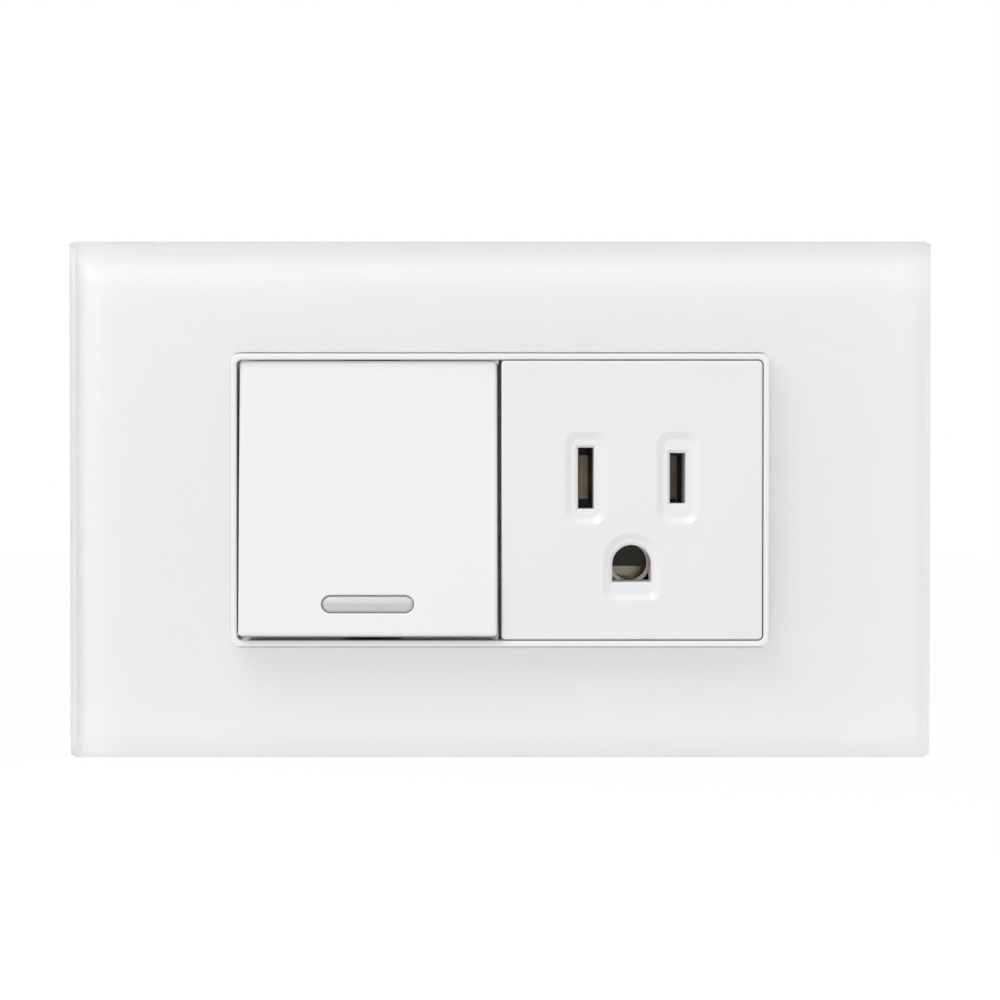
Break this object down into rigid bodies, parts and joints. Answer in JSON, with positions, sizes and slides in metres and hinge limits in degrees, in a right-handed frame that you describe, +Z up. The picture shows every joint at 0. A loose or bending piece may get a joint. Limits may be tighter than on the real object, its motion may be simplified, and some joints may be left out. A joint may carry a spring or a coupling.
{
  "type": "switch and socket combination",
  "caption": "Glass-fronted wall plate with a rocker switch and its indicator window beside a grounded socket outlet, on a steel strap for a single-gang box.",
  "frame": {"origin": "middle of the back of the steel strap, halfway between the two wall screws, on the wall plane", "axes": "+X right seen from the front, +Z up, -Y out of the wall towards the user"},
  "size_m": [0.12, 0.0339, 0.072],
  "materials": {
    "white_glass": "clear glass painted white on its back",
    "foam_tape": "double-sided foam tape",
    "carrier_plastic": "moulded ABS",
    "frame_plastic": "gloss white polycarbonate",
    "rocker_plastic": "gloss white polycarbonate",
    "face_plastic": "gloss white polycarbonate",
    "housing_plastic": "flame-retardant nylon",
    "lens_plastic": "translucent grey light guide",
    "zinc_steel": "zinc-plated sheet steel",
    "screw_steel": "zinc-plated steel",
    "spring_steel": "spring wire",
    "contact_brass": "stamped brass",
    "contact_bronze": "tin-bronze spring strip",
    "contact_silver": "silver-alloy contact rivet",
    "plunger_nylon": "natural nylon",
    "board_laminate": "glass-fibre laminate with green mask",
    "lamp_resin": "milky resin",
    "resistor_lacquer": "lacquered body",
    "pin_metal": "tinned brass"
  },
  "bodies": {
    "housing": {"glass_panel": "white_glass", "bonding_tape": "foam_tape", "panel_carrier": "carrier_plastic", "module_frame": "frame_plastic", "steel_yoke": "zinc_steel", "module_screws": "screw_steel", "switch_cover": "housing_plastic", "switch_body": "housing_plastic", "common_terminal": "contact_brass", "upper_terminal": "contact_brass", "lower_terminal": "contact_brass", "fixed_contacts": "contact_silver", "switch_terminal_clamps": "contact_brass", "switch_terminal_screws": "screw_steel", "indicator_board": "board_laminate", "indicator_led": "lamp_resin", "board_resistor": "resistor_lacquer", "board_pins": "pin_metal", "socket_face": "face_plastic", "socket_body": "housing_plastic", "line_contact": "contact_bronze", "neutral_contact": "contact_bronze", "ground_contact": "contact_bronze", "socket_terminal_clamps": "contact_brass", "socket_terminal_screws": "screw_steel"},
    "rocker": {"rocker_button": "rocker_plastic", "indicator_lens": "lens_plastic", "plunger_spring": "spring_steel"},
    "plunger_pin": {"plunger": "plunger_nylon"},
    "lever": {"contact_lever": "contact_brass", "lever_contacts": "contact_silver"}
  },
  "joints": [
    {"name": "rocker_tilt", "type": "hinge", "parent": "housing", "child": "rocker", "pos_m": [-0.01825, -0.0066, 0], "axis": [1, 0, 0], "range_deg": [0, 8.4]},
    {"name": "plunger_slide", "type": "slide", "parent": "rocker", "child": "plunger_pin", "axis": [0, -0.9973, 0.0732], "range_m": [0, 0.0008], "stiffness_N_per_m": 500, "springref_m": -0.002, "deforming": ["plunger_spring"]},
    {"name": "lever_tilt", "type": "hinge", "parent": "housing", "child": "lever", "pos_m": [-0.01825, 0.007, 0], "axis": [1, 0, 0], "range_deg": [-22, 0]}
  ],
  "couplings": [
    {"joint": "lever_tilt", "follows": "rocker_tilt", "ratio": -2.6191}
  ]
}
